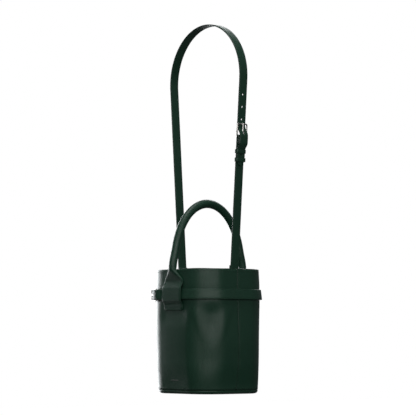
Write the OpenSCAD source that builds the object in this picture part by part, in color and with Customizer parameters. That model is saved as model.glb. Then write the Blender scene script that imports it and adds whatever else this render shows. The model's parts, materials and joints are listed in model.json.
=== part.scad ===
// Bucket bag with a belt round the mouth, a rolled top handle and an adjustable shoulder strap.
// Frame: +Z up, front faces -Y, origin where the strap's underside rests on the shoulder.

/* [Body] */
// Width at the belt
body_w = 168; // [160:1:176]
// Depth front to back at the belt
body_d = 154; // [148:1:162]
// Height from base to rim
body_h = 220; // [200:1:250]
// Corner radius in plan at the belt
corner_r = 50; // [46:1:54]
// How far the base is drawn in on each side
base_inset = 4; // [2:0.5:8]
// How far the rim is drawn in on each side
rim_inset = 2; // [0:0.5:3]
// Wall leather with its stiffener
wall_t = 2.2; // [1.6:0.1:2.6]
// Lining thickness
lining_t = 1; // [0.6:0.1:1.2]
// Height of the rounded base edge
base_round = 9; // [6:0.5:12]

/* [Handle] */
// Height of the handle's centreline above the rim
handle_h = 119; // [105:1:135]
// Rolled handle thickness
handle_d = 14.5; // [12:0.5:15]
// Rope core thickness
core_d = 9.4; // [7:0.1:9.6]

/* [Belt] */
// Belt width
belt_w = 18; // [15:0.5:22]
// Belt leather thickness
belt_t = 2; // [1.6:0.1:2.2]
// Distance from the rim down to the belt's middle
belt_drop = 45; // [40:1:50]
// Width of the handle tabs that the belt runs under
tab_w = 52; // [40:1:60]
// Length of the handle tabs below the rim
tab_l = 73; // [66:1:85]

/* [Shoulder strap] */
// Drop from the shoulder to the rim
drop = 440; // [400:5:520]
// Radius of the shoulder that the strap lies over
shoulder_r = 98; // [90:1:110]
// Strap width
strap_w = 18; // [15:0.5:20]
// Strap leather thickness
strap_t = 2.4; // [2:0.1:2.8]
// Height of the adjusting buckle above the rim
buckle_up = 233; // [180:1:260]

/* [Hardware] */
// Distance of each snap hook from the middle of the bag
hook_x = 69; // [64:0.5:70]
// Wire radius of the D-rings
ring_r = 1.6; // [1.4:0.1:1.8]
// Radius of a D-ring's bow
bow_r = 10.5; // [10:0.5:12]
// Wire radius of the snap hooks
hook_r = 1.7; // [1.5:0.1:1.9]
// Pin radius of the buckle bars
bar_r = 1.3; // [1.2:0.1:1.5]

/* [Hidden] */
$fn = 48;
arc_n = 10;              // steps round one plan corner
play = 0.2;              // glue line or easy gap between layers
rim_z = -drop;
base_z = rim_z - body_h;
belt_z = rim_z - belt_drop;
cx = body_w / 2 - corner_r;
cy = body_d / 2 - corner_r;
front_y = -body_d / 2;
seam_gap = 0.2;
board_t = 2;
facing_h = 32;
skin_t = wall_t + play + lining_t;

// snap hook and D-ring heights, measured from the ring's bar
ring_leg = 5;
ring_top = ring_leg + bow_r;
hook_reach = 6.9;        // radius of the hook's bend
hook_gap = 0.6;
hook_arc = ring_top - ring_r - hook_r - hook_gap + hook_reach;
collar_low = hook_arc + 12;
collar_high = collar_low + 6;
post_r = 2;
loop_bar_r = 2;
loop_bar = collar_high + 9;
loop_half = strap_w / 2 + 2.6;
strap_end_z = rim_z - 20;

// strap strands: s runs up a strand from its hook bar, n points away from the wearer's side
fold_in = loop_bar_r + 0.1 + strap_t / 2;
strand_x = hook_x + fold_in;
mid_r = shoulder_r + strap_t / 2;
to_centre = [-strand_x, -shoulder_r - strap_end_z];
far = norm(to_centre);
lean = atan2(to_centre[0], to_centre[1]) + asin(mid_r / far);
strand_l = sqrt(far * far - mid_r * mid_r);
up = [sin(lean), cos(lean)];
out = [cos(lean), -sin(lean)];
ring_z = strap_end_z + fold_in * sin(lean) - loop_bar;
swing_z = ring_z + ring_leg;
stud_s = 14;
buckle_s = (rim_z + buckle_up - strap_end_z) / cos(lean);
fold_out = bar_r + 0.1 + strap_t / 2;
frame_l = 22;
tongue_n = 3 * strap_t + 2 * bar_r + 0.6 - strap_t / 2;
layer_n = strap_t + 0.3;
tip_s = buckle_s - 52;
hole_pitch = 22;
hole_r = 1.75;

// belt buckle on the front left corner, angles about that corner's middle
bend_r = corner_r + 0.3 + belt_t / 2;
belt_bar_r = bend_r + belt_t / 2 + 0.1 + bar_r;
belt_fold = bar_r + 0.1 + belt_t / 2;
belt_over = belt_bar_r + belt_fold + belt_t + 0.2;
belt_under = bend_r + belt_t + 0.3;
bar_a = -109;
flap_a = -98;
climb_a = -150;
top_a = -107;
belt_frame_l = 24;

// prongs
prong_r = 1;
eye_r = bar_r + 1.3;
prong_n = bar_r + prong_r + 0.3;

leather = [0.07, 0.16, 0.11];
suede = [0.20, 0.24, 0.20];
board = [0.45, 0.38, 0.28];
metal = [0.78, 0.77, 0.74];

// ---- shape helpers ----
function back_to_front(list) = [for (k = [len(list) - 1:-1:0]) list[k]];
function lift(loop, z) = [for (p = loop) [p[0], p[1], z]];
function arc(c, r, a0, a1, n) = [for (k = [0:n]) let (a = a0 + (a1 - a0) * k / n) c + r * [cos(a), sin(a)]];
function blend(t) = (1 - cos(180 * t)) / 2;

// the wall's inset from the plan at the belt, at height z
function wall_inset(z) =
    z > belt_z ? rim_inset * (z - belt_z) / (rim_z - belt_z)
               : base_inset * pow((belt_z - z) / (belt_z - base_z), 1.4);

// the whole plan outline drawn in by i, anticlockwise
function plan(i) = concat(
    arc([cx, cy], corner_r - i, 0, 90, arc_n), arc([-cx, cy], corner_r - i, 90, 180, arc_n),
    arc([-cx, -cy], corner_r - i, 180, 270, arc_n), arc([cx, -cy], corner_r - i, 270, 360, arc_n));

// skins a stack of equal loops, each anticlockwise from outside the stack's start
module skin(loops, ring = false) {
    n = len(loops[0]);
    m = len(loops);
    bands = ring ? m : m - 1;
    sides = [for (j = [0:bands - 1], k = [0:n - 1])
        let (a = j * n + k, b = j * n + (k + 1) % n, c = ((j + 1) % m) * n + k, d = ((j + 1) % m) * n + (k + 1) % n)
        each [[a, c, b], [b, c, d]]];
    ends = ring ? [] : [[for (k = [0:n - 1]) k], [for (k = [n - 1:-1:0]) (m - 1) * n + k]];
    polyhedron(points = [for (l = loops) each l], faces = concat(sides, ends), convexity = 6);
}

function direction(path, k) =
    let (a = path[max(k - 1, 0)], b = path[min(k + 1, len(path) - 1)]) (b - a) / norm(b - a);
function beside(path, d) = [for (k = [0:len(path) - 1]) let (t = direction(path, k)) path[k] + d * [-t[1], t[0]]];
function strip(path, t) = concat(beside(path, t / 2), back_to_front(beside(path, -t / 2)));

// a band of leather in the XZ plane, w wide along Y
module band(path, t, w) rotate([90, 0, 0]) linear_extrude(w, center = true) polygon(strip(path, t));

module rod(a, b, r) {
    d = b - a;
    translate(a) rotate([0, acos(d[2] / norm(d)), atan2(d[1], d[0])]) cylinder(h = norm(d), r = r);
}

// a flat buckle frame in the YZ plane: heel bar at the origin, outer bar at z = length
module frame_ring(half, length) {
    for (z = [0, length]) rod([0, -half, z], [0, half, z], bar_r);
    for (y = [-half, half]) {
        rod([0, y, 0], [0, y, length], bar_r);
        for (z = [0, length]) translate([0, y, z]) sphere(bar_r);
    }
}

module prong(length) difference() {
    union() {
        rotate([90, 0, 0]) cylinder(h = 3, r = eye_r, center = true);
        rod([bar_r + 0.9, 0, 1], [prong_n, 0, length + 1.2], prong_r);
        translate([prong_n, 0, length + 1.2]) sphere(prong_r);
    }
    rotate([90, 0, 0]) cylinder(h = 4, r = bar_r + 0.1, center = true);
}

// ---- bag body ----
wall_low = base_z + base_round + play;
wall_rings = [for (k = [0:14]) wall_low + (rim_z - wall_low) * k / 14];
module wall() skin(concat(
    [for (z = wall_rings) lift(plan(wall_inset(z)), z)],
    [for (z = back_to_front(wall_rings)) lift(plan(wall_inset(z) + wall_t), z)]), ring = true);

module front_panel() color(leather) difference() {
    wall();
    translate([-body_w, -seam_gap / 2, base_z]) cube([2 * body_w, body_d, 2 * body_h]);
}

module back_panel() color(leather) mirror([0, 1, 0]) front_panel();

module base_panel() color(leather) skin(concat(
    [for (k = [0:6]) let (a = 90 * k / 6)
        lift(plan(base_inset + base_round * (1 - sin(a))), base_z + base_round * (1 - cos(a)))],
    [for (k = [6:-1:0]) let (a = 90 * k / 6, r = base_round - wall_t)
        lift(plan(base_inset + wall_t + r * (1 - sin(a))), base_z + wall_t + r * (1 - cos(a)))]));

board_z = base_z + wall_t + 0.1;
floor_z = board_z + board_t + 0.1;
module base_board() color(board) translate([0, 0, board_z]) linear_extrude(board_t)
    polygon(plan(base_inset + base_round));

lining_top = rim_z - facing_h - play;
module lining() color(suede) {
    rings = [for (k = [0:10]) floor_z + (lining_top - floor_z) * k / 10];
    skin(concat(
        [for (k = [0:10]) lift(plan(wall_inset(rings[k]) + wall_t + play + (k == 0 ? 4 : 0)), rings[k])],
        [for (k = [10:-1:1]) lift(plan(wall_inset(rings[k]) + skin_t), rings[k])],
        [lift(plan(wall_inset(floor_z) + skin_t + 4), floor_z + lining_t)]));
}

module facing() color(leather) skin([
    lift(plan(wall_inset(rim_z - facing_h) + wall_t + play), rim_z - facing_h),
    lift(plan(rim_inset + wall_t + play), rim_z),
    lift(plan(rim_inset + skin_t), rim_z),
    lift(plan(wall_inset(rim_z - facing_h) + skin_t), rim_z - facing_h)], ring = true);

pocket_w = 104;
pocket_h = 92;
pocket_z = lining_top - 18 - pocket_h;
module slip_pocket() color(leather) {
    i = skin_t + wall_inset(pocket_z) + 0.4 + 0.6;
    wrap = acos((pocket_w / 2 - cx) / (corner_r - i));
    path = concat(arc([cx, cy], corner_r - i, wrap, 90, 8), arc([-cx, cy], corner_r - i, 90, 180 - wrap, 8));
    translate([0, 0, pocket_z]) linear_extrude(pocket_h) polygon(strip(path, 1.2));
}

snap_z = rim_z - 18;
snap_y = body_d / 2 - wall_inset(snap_z) - skin_t;
module snap_disc() rotate([90, 0, 0]) {
    cylinder(h = 1.2, r = 9);
    translate([0, 0, 1.2]) cylinder(h = 1.8, r = 7);
}
module snap_socket() color(metal) translate([0, -snap_y + 0.7, snap_z]) mirror([0, 1, 0]) difference() {
    snap_disc();
    translate([0, -1.6, 0]) rotate([90, 0, 0]) cylinder(h = 3, r = 2.6);
}
module snap_stud() color(metal) translate([0, snap_y - 0.7, snap_z]) {
    snap_disc();
    translate([0, -3, 0]) rotate([90, 0, 0]) cylinder(h = 2, r = 2.3);
}

// ---- handle tabs: laid on the wall, bulging over the belt, sewn down below it ----
tab_t = 2.2;
module handle_tab(layers) {
    y0 = front_y + rim_inset - 0.25;
    y1 = front_y - 0.3;
    low = rim_z - tab_l;
    bulge = layers * (belt_t + 0.35) + 0.4;
    path = [[y0, rim_z + 0.3], [y0 - 0.6, rim_z - 10], [y1 - 0.4, belt_z + belt_w / 2 + 6],
        [y1 - bulge, belt_z + belt_w / 2 + 1], [y1 - bulge, belt_z - belt_w / 2 - 1],
        [y1, belt_z - belt_w / 2 - 6], [y1, low]];
    face = concat(path, [for (p = back_to_front(path)) p - [tab_t, 0]]);
    intersection() {
        rotate([90, 0, 90]) linear_extrude(tab_w, center = true) polygon(face);
        rotate([90, 0, 0]) linear_extrude(body_d) polygon(concat(
            arc([-tab_w / 2 + 4, low + 4], 4, 180, 270, 5), arc([tab_w / 2 - 4, low + 4], 4, 270, 360, 5),
            [[tab_w / 2, rim_z - 18], [tab_w / 2 - 3, rim_z - 11], [handle_d / 2 + 5, rim_z - 3],
                [handle_d / 2 + 1, rim_z + 1], [-handle_d / 2 - 1, rim_z + 1], [-handle_d / 2 - 5, rim_z - 3],
                [-tab_w / 2 + 3, rim_z - 11], [-tab_w / 2, rim_z - 18]]));
    }
}
module front_tab() color(leather) handle_tab(2);
module back_tab() color(leather) mirror([0, 1, 0]) handle_tab(1);

// ---- belt and its buckle ----
corner_c = [-cx, -cy];
bar_c = corner_c + belt_bar_r * [cos(bar_a), sin(bar_a)];
tip_x = 14;
belt_path = concat(
    arc(corner_c, belt_bar_r + belt_fold, flap_a, bar_a + 2, 4),
    arc(bar_c, belt_fold, bar_a, bar_a - 180, 8),
    arc(corner_c, bend_r, bar_a + 3, -90, 5),
    arc([cx, -cy], bend_r, -90, 0, 12), arc([cx, cy], bend_r, 0, 90, 12), arc([-cx, cy], bend_r, 90, 180, 12),
    arc(corner_c, bend_r, -180, climb_a, 6),
    [for (k = [1:12]) let (a = climb_a + (top_a - climb_a) * k / 12)
        corner_c + (bend_r + (belt_over - bend_r) * blend(k / 12)) * [cos(a), sin(a)]],
    arc(corner_c, belt_over, top_a + 3, flap_a, 3),
    [for (k = [1:2]) let (a = flap_a + 3 * k)
        corner_c + (belt_over + (belt_under - belt_over) * blend(k / 4)) * [cos(a), sin(a)]],
    [[-cx + 1, -cy - belt_over - (belt_under - belt_over) * blend(0.75)], [-cx + 6, -cy - belt_under],
        [tip_x, -cy - belt_under]]);

module on_corner() translate([bar_c[0], bar_c[1], belt_z]) rotate([0, 0, bar_a - 90]) rotate([90, 0, 90]) children();

module belt() color(leather) difference() {
    translate([0, 0, belt_z - belt_w / 2]) linear_extrude(belt_w) polygon(strip(belt_path, belt_t));
    on_corner() translate([-3.7, -2.1, -5]) cube([15, 4.2, 11]);
    on_corner() translate([0.5, -2.1, 2]) cube([11, 4.2, 13]);
}

module belt_buckle() color(metal) on_corner() frame_ring(belt_w / 2 + bar_r + 0.5, belt_frame_l);
module belt_prong() color(metal) on_corner() prong(belt_frame_l);

// ---- interior ring tabs and D-rings ----
tab_y = 16;
module ring_tab() color(leather) {
    wall_x = body_w / 2 - wall_inset(ring_z - 30) - skin_t - 1.6;
    low = [wall_x, ring_z - 44];
    knee = [wall_x - 0.1, ring_z - 24];
    turn = ring_r + 0.15 + 0.8;
    bar = [hook_x, ring_z];
    band(concat([low, knee + [0, -4], knee + [-0.8, 0]], arc(bar, turn, -20, 200, 12), [bar + [-0.6, -9], bar + [2.4, -20]]),
        1.6, tab_y);
}
module ring_tab_right() ring_tab();
module ring_tab_left() mirror([1, 0, 0]) ring_tab();

module d_ring() color(metal) translate([hook_x, 0, ring_z]) {
    rod([0, -bow_r, 0], [0, bow_r, 0], ring_r);
    for (y = [-bow_r, bow_r]) {
        translate([0, y, 0]) sphere(ring_r);
        rod([0, y, 0], [0, y, ring_leg], ring_r);
    }
    translate([0, 0, ring_leg]) rotate([0, -90, 0]) rotate([0, 0, -90]) rotate_extrude(angle = 180)
        translate([bow_r, 0]) circle(ring_r);
}
module ring_right() d_ring();
module ring_left() mirror([1, 0, 0]) d_ring();

// ---- handle: half an ellipse standing on rounded leg ends ----
arch_r = -front_y - rim_inset + 1;
leg_low = rim_z + handle_d / 2 + 0.7;
arch_h = rim_z + handle_h - leg_low;
arch_n = 36;
function arch_at(a) = [0, arch_r * cos(a), leg_low + arch_h * sin(a)];
function arch_way(a) = let (d = [0, -arch_r * sin(a), arch_h * cos(a)]) d / norm(d);
function tube_ring(p, way, r) = [for (k = [0:15]) let (a = 22.5 * k)
    p + r * [cos(a), way[2] * sin(a), -way[1] * sin(a)]];
function arch_rings(r) = [for (k = [0:arch_n]) let (a = 180 * k / arch_n) tube_ring(arch_at(a), arch_way(a), r)];
function leg_end(side, fall, r) = tube_ring([0, side * arch_r, leg_low - fall], [0, 0, side], r);
leg_falls = [[6.9, 2.4], [5.5, 4.7], [3.2, 6.5]];
module handle_cover() color(leather) skin(concat(
    [for (f = leg_falls) leg_end(1, f[0], f[1])],
    arch_rings(handle_d / 2),
    [for (f = back_to_front(leg_falls)) leg_end(-1, f[0], f[1])],
    back_to_front(arch_rings(core_d / 2 + 0.1))), ring = true);
module handle_core() color(board) skin(arch_rings(core_d / 2));

// ---- shoulder strap ----
function right(s, n) = [strand_x, strap_end_z] + s * up + n * out;
function left(s, n) = [-right(s, n)[0], right(s, n)[1]];
function bend(s, n, r, a0, a1, steps) = [for (k = [0:steps]) let (a = a0 + (a1 - a0) * k / steps) [s + r * cos(a), n + r * sin(a)]];

hook_fold = concat([[26, -layer_n], [9, -layer_n], [4.5, -2 * fold_in + 1.2]], bend(0, -fold_in, fold_in, 270, 90, 10));
climb = [for (k = [0:8]) [buckle_s + 18 - 2 * k, (tongue_n) * blend(k / 8)]];
tongue = concat(climb, [[buckle_s - 14, tongue_n], [buckle_s - 22, layer_n], [tip_s, layer_n]]);
buckle_fold = concat([[buckle_s - 14, 2 * fold_out]], bend(buckle_s, fold_out, fold_out, 90, -90, 10));

long_path = concat(
    [for (p = hook_fold) left(p[0], p[1])],
    [for (k = [0:1:4]) left(strand_l * (k + 0.2) / 5, 0)],
    arc([0, -shoulder_r], mid_r, 180 + lean, -lean, 36),
    [for (p = tongue) right(p[0], p[1])]);
short_path = concat([for (p = buckle_fold) right(p[0], p[1])], [for (p = back_to_front(hook_fold)) right(p[0], p[1])]);

module on_strand(s) translate([strand_x + s * up[0], 0, strap_end_z + s * up[1]]) rotate([0, lean, 0]) children();
module stud_hole(r) on_strand(stud_s) rotate([0, 90, 0]) cylinder(h = 30, r = r, center = true);
holes = concat([for (k = [0:2]) buckle_s + 30 + hole_pitch * k], [buckle_s - 33]);

module strap_long() color(leather) difference() {
    band(long_path, strap_t, strap_w);
    mirror([1, 0, 0]) stud_hole(1.6);
    on_strand(buckle_s) translate([-2, -1.7, 3.5]) cube([12, 3.4, 10]);
    for (s = holes) on_strand(s) rotate([0, 90, 0]) cylinder(h = 20, r = hole_r, center = true);
}
module strap_short() color(leather) difference() {
    band(short_path, strap_t, strap_w);
    stud_hole(1.6);
    on_strand(buckle_s) translate([-1.5, -2.1, -5]) cube([10, 4.2, 11]);
}
module strap_buckle() color(metal) on_strand(buckle_s) translate([fold_out, 0, 0])
    frame_ring(strap_w / 2 + bar_r + 0.5, frame_l);
module strap_prong() color(metal) on_strand(buckle_s) translate([fold_out, 0, 0]) prong(frame_l);
module keeper(s) on_strand(s) difference() {
    low = -strap_t / 2 - 0.15;
    high = layer_n + strap_t / 2 + 0.15;
    translate([low - 1.4, -strap_w / 2 - 1.6, 0]) cube([high - low + 2.8, strap_w + 3.2, 7]);
    translate([low, -strap_w / 2 - 0.2, -1]) cube([high - low, strap_w + 0.4, 9]);
}
module strap_keeper_fixed() color(leather) keeper(buckle_s - 30);
module strap_keeper_loose() color(leather) keeper(buckle_s - 45);
module strap_stud() color(metal) on_strand(stud_s) rotate([0, 90, 0]) {
    cylinder(h = 2 * (layer_n + strap_t), r = 1.5, center = true);
    translate([0, 0, strap_t / 2 + 0.1]) cylinder(h = 1.3, r = 3.6);
    translate([0, 0, -layer_n - strap_t / 2 - 1.4]) cylinder(h = 1.3, r = 3.6);
}
module strap_stud_right() strap_stud();
module strap_stud_left() mirror([1, 0, 0]) strap_stud();

// ---- snap hooks: a strap loop with a swivel post, a hook body and a sprung gate ----
module at_hook() translate([hook_x, 0, ring_z]) children();
module hook_loop() color(metal) at_hook() {
    foot = collar_high + 0.3;
    rod([0, -loop_half, loop_bar], [0, loop_half, loop_bar], loop_bar_r - 0.1);
    for (y = [-loop_half, loop_half]) {
        translate([0, y, loop_bar]) sphere(loop_bar_r - 0.1);
        rod([0, y, foot + 1.6], [0, y, loop_bar], 1.6);
        translate([0, y, foot + 1.6]) sphere(1.6);
    }
    rod([0, -loop_half, foot + 1.6], [0, loop_half, foot + 1.6], 1.6);
    translate([0, 0, foot]) cylinder(h = 3.2, r = 3.4);
    translate([0, 0, collar_low - 0.3]) cylinder(h = foot - collar_low + 0.8, r = post_r);
    translate([0, 0, collar_low - 1.8]) cylinder(h = 1.6, r = 3.2);
}
gate_x = -hook_reach;    // the gate is on the bag's inner side
module hook_body() color(metal) at_hook() {
    translate([0, 0, hook_arc]) rotate([90, 0, 0]) rotate([0, 0, 180]) rotate_extrude(angle = 180)
        translate([hook_reach, 0]) circle(hook_r);
    rod([hook_reach, 0, hook_arc], [hook_reach, 0, collar_low + 1], hook_r);
    translate([gate_x, 0, hook_arc]) sphere(hook_r);
    difference() {
        union() {
            translate([0, 0, collar_low]) cylinder(h = 6, r = 4.6);
            translate([-hook_reach - 2, -2.6, collar_low]) cube([2 * hook_reach + 4, 5.2, 5]);
        }
        translate([0, 0, collar_low - 1]) cylinder(h = 8, r = post_r + 0.1);
        translate([gate_x - 3, -1.4, collar_low - 1]) cube([6, 2.8, 7]);
        translate([gate_x, 0, collar_low + 2.4]) rotate([90, 0, 0]) cylinder(h = 8, r = 0.8, center = true);
    }
}
module hook_gate() color(metal) at_hook() difference() {
    union() {
        rod([gate_x, 0, hook_arc + hook_r + 0.3], [gate_x, 0, collar_low + 1.4], 1.1);
        translate([gate_x, 0, collar_low + 2.4]) rotate([90, 0, 0]) cylinder(h = 2.5, r = 1.9, center = true);
        translate([gate_x - 0.6, 0, hook_arc + 6]) rotate([0, -90, 0]) cylinder(h = 1.6, r = 1.6);
    }
    translate([gate_x, 0, collar_low + 2.4]) rotate([90, 0, 0]) cylinder(h = 8, r = 0.85, center = true);
}
module gate_pin() color(metal) at_hook() translate([gate_x, 0, collar_low + 2.4]) rotate([90, 0, 0])
    cylinder(h = 5.2, r = 0.78, center = true);

module hook_loop_right() hook_loop();
module hook_loop_left() mirror([1, 0, 0]) hook_loop();
module hook_body_right() hook_body();
module hook_body_left() mirror([1, 0, 0]) hook_body();
module hook_gate_right() hook_gate();
module hook_gate_left() mirror([1, 0, 0]) hook_gate();
module gate_pin_right() gate_pin();
module gate_pin_left() mirror([1, 0, 0]) gate_pin();

front_panel();
back_panel();
base_panel();
base_board();
lining();
facing();
slip_pocket();
snap_socket();
snap_stud();
front_tab();
back_tab();
belt();
belt_buckle();
belt_prong();
ring_tab_left();
ring_tab_right();
ring_left();
ring_right();
handle_cover();
handle_core();
strap_long();
strap_short();
strap_buckle();
strap_prong();
strap_keeper_fixed();
strap_keeper_loose();
strap_stud_left();
strap_stud_right();
hook_loop_left();
hook_loop_right();
hook_body_left();
hook_body_right();
hook_gate_left();
hook_gate_right();
gate_pin_left();
gate_pin_right();
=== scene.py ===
import json
from math import atan2, copysign, cos, degrees, pi, radians, sin, sqrt
import bpy
import bmesh
from mathutils import Matrix, Vector, noise


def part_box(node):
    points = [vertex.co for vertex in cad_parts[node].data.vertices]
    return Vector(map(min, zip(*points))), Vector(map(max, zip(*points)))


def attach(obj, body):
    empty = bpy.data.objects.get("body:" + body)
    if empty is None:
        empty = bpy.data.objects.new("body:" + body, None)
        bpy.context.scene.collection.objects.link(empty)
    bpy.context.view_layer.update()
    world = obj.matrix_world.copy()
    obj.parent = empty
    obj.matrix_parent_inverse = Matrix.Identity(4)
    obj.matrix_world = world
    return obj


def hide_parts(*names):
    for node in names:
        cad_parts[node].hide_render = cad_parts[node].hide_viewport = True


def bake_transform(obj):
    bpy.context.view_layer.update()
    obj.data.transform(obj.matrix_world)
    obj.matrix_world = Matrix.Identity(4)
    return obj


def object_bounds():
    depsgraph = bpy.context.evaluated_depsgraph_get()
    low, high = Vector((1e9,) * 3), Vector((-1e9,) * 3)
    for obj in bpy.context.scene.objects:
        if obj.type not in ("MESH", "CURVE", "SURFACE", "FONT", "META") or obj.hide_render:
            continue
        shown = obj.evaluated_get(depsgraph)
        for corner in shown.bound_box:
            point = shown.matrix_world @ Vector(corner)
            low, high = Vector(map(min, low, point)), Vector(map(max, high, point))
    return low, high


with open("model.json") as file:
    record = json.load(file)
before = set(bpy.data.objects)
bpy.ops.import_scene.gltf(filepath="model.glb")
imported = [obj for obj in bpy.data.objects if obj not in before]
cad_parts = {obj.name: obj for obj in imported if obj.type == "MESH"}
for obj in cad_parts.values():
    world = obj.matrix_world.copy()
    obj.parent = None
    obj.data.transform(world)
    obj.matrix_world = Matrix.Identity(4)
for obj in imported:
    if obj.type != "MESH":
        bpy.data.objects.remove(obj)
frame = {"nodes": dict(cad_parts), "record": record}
cadLow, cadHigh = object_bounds()
record = frame["record"]
joints = {j["name"]: j for j in record["behaviour"]["joints"]}


def vec(x, y, z):
    return Vector((x, y, z))


# places taken from the part, in metres
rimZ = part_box("facing")[1].z
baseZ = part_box("base_panel")[0].z
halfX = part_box("front_panel")[1].x
halfY = -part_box("front_panel")[0].y
beltLow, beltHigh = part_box("belt")
beltZ = (beltLow.z + beltHigh.z) / 2
beltWidth = beltHigh.z - beltLow.z
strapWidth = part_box("strap_long")[1].y * 2
strandUp = Vector(joints["keeper_slide"]["axis"])
strandOut = vec(strandUp.z, 0, -strandUp.x)
strapHeel = Vector(joints["strap_prong_tilt"]["pos_m"])
beltHeel = Vector(joints["belt_prong_tilt"]["pos_m"])
handleRoot = Vector(joints["handle_lean"]["pos_m"])
ringBar = Vector(joints["ring_right_tilt"]["pos_m"])
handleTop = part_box("handle_cover")[1].z
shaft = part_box("handle_cover")[1].x
mm = 0.001
sideX = vec(1, 0, 0)
sideY = vec(0, 1, 0)
up = vec(0, 0, 1)

body = {
    "cornerRadius": 50 * mm,
    "rimInset": 2 * mm,
    "baseInset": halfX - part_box("base_panel")[1].x,
    "baseRound": 6.5 * mm,
    "leather": 2.2 * mm,
    "lining": 1.2 * mm,
    "facingHeight": 32 * mm,
    "rimWave": 0.9 * mm,
    "wallWave": 1.3 * mm,
    "fullness": 4.6 * mm,
    "sagLength": 85,
    "tabReach": 74,
    "dentDepth": 3.7 * mm,
    "dentLength": 92 * mm,
    "dentWidth": 30 * mm,
    "dentAngle": radians(31),
    "stitchInset": 3.2 * mm,
}
cornerX = halfX - body["cornerRadius"]
cornerY = halfY - body["cornerRadius"]


# small mesh tools
def smoothStep(t):
    t = min(max(t, 0.0), 1.0)
    return t * t * (3 - 2 * t)


# eases from 0 to 1 as x goes from start to start + width, both given in millimetres
def ramp(x, start, width):
    return smoothStep((x / mm - start) / width)


def mix(a, b, t):
    return a + (b - a) * t


# n + 1 even steps from a to b
def steps(a, b, n):
    return [mix(a, b, k / n) for k in range(n + 1)]


# n angles round a circle, beginning after a share of one step
def turns(n, begin=0.0):
    return [2 * pi * (k + begin) / n for k in range(n)]


def hump(x, middle, halfWidth):
    d = abs(x - middle) / halfWidth
    return smoothStep(1 - d) if d < 1 else 0.0


def intoScene(name, data):
    thing = bpy.data.objects.new(name, data)
    bpy.context.scene.collection.objects.link(thing)
    return thing


# leaves a piece with the plain mesh its modifiers make of it
def bake(thing):
    ready = bpy.context.evaluated_depsgraph_get()
    solid = bpy.data.meshes.new_from_object(thing.evaluated_get(ready))
    thing.modifiers.clear()
    old = thing.data
    thing.data = solid
    bpy.data.meshes.remove(old)


# one finished piece: the body it rides, a slot name that is not used, and the nodes it stands for
def fit(piece, bodyName, slotName, *nodes):
    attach(piece, bodyName)
    if nodes:
        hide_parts(*nodes)


def finishMesh(name, points, faces, materials, slots=None):
    mesh = bpy.data.meshes.new(name)
    mesh.from_pydata([tuple(p) for p in points], [], faces)
    for m in materials:
        mesh.materials.append(m)
    if slots:
        mesh.polygons.foreach_set("material_index", slots)
    mesh.validate()
    bm = bmesh.new()
    bm.from_mesh(mesh)
    bmesh.ops.remove_doubles(bm, verts=bm.verts, dist=1e-6)
    bmesh.ops.recalc_face_normals(bm, faces=bm.faces)
    bm.to_mesh(mesh)
    bm.free()
    mesh.polygons.foreach_set("use_smooth", [True] * len(mesh.polygons))
    return intoScene(name, mesh)


# rows of points: wrap closes each row on itself, and loop joins the last row to the first
def stretchSkin(name, rows, materials, wrap=False, loop=False, cap=False, slotOf=None):
    n = len(rows[0])
    points = [p for row in rows for p in row]
    faces = []
    slots = []
    for j in range(len(rows) if loop else len(rows) - 1):
        k = (j + 1) % len(rows)
        for i in range(n if wrap else n - 1):
            h = (i + 1) % n
            faces.append((j * n + i, j * n + h, k * n + h, k * n + i))
            slots.append(slotOf(j, i) if slotOf else 0)
    if cap:
        faces.append(tuple(range(n)))
        faces.append(tuple((len(rows) - 1) * n + i for i in range(n)))
        slots += [slots[0], slots[0]]
    return finishMesh(name, points, faces, materials, slots)


def joinPieces(name, pieces):
    bpy.ops.object.select_all(action="DESELECT")
    for p in pieces:
        p.select_set(True)
    bpy.context.view_layer.objects.active = pieces[0]
    bpy.ops.object.join()
    pieces[0].name = name
    pieces[0].data.name = name
    return pieces[0]


# carries a flat section along stations of (point, sideways, outwards, width share, thickness share)
def carrySection(name, stations, section, materials, loop=False, cap=True, slotOf=None):
    rows = [[p + u * (a * su) + v * (b * sv) for a, b in section] for p, u, v, su, sv in stations]
    return stretchSkin(name, rows, materials, wrap=True, loop=loop, cap=cap and not loop, slotOf=slotOf)


def roundSection(radius, n=14):
    return [(radius * cos(a), radius * sin(a)) for a in turns(n)]


# the way a path runs at point k
def wayAt(path, k):
    return (path[min(k + 1, len(path) - 1)] - path[max(k - 1, 0)]).normalized()


def wireRun(name, path, radius, n=14, loop=False, material=None):
    stations = []
    side = None
    last = len(path) - 1
    for k, p in enumerate(path):
        before = path[k - 1] if (k > 0 or loop) else p
        after = path[(k + 1) % len(path)] if (k < last or loop) else p
        way = (after - before).normalized()
        if side is None:
            side = way.cross(vec(0.31, 0.27, 0.9)).normalized()
        side = (side - way * side.dot(way)).normalized()
        stations.append((p, side, way.cross(side), 1, 1))
    return carrySection(name, stations, roundSection(radius, n), [material or platedMetal], loop=loop)


def arcRun(centre, u, v, radius, start, end, count):
    angles = [radians(a) for a in steps(start, end, count)]
    return [centre + u * (radius * cos(a)) + v * (radius * sin(a)) for a in angles]


# turns a profile of (radius, height) in millimetres about an axis
def lathe(name, profile, origin, axis, side, n=28):
    rows = []
    for a in turns(n):
        spoke = side * cos(a) + axis.cross(side) * sin(a)
        rows.append([origin + axis * (h * mm) + spoke * (r * mm) for r, h in profile])
    return stretchSkin(name, rows, [platedMetal], loop=True)


# materials
def setInputs(node, values):
    for name, value in values.items():
        node.inputs[name].default_value = value


def wireUp(tree, node, wires):
    for name, source in wires.items():
        tree.links.new(source, node.inputs[name])


# a node whose inputs are given as numbers, and as wires from other nodes
def addNode(tree, kind, values, wires):
    node = tree.nodes.new(kind)
    setInputs(node, values)
    wireUp(tree, node, wires)
    return node


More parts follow.
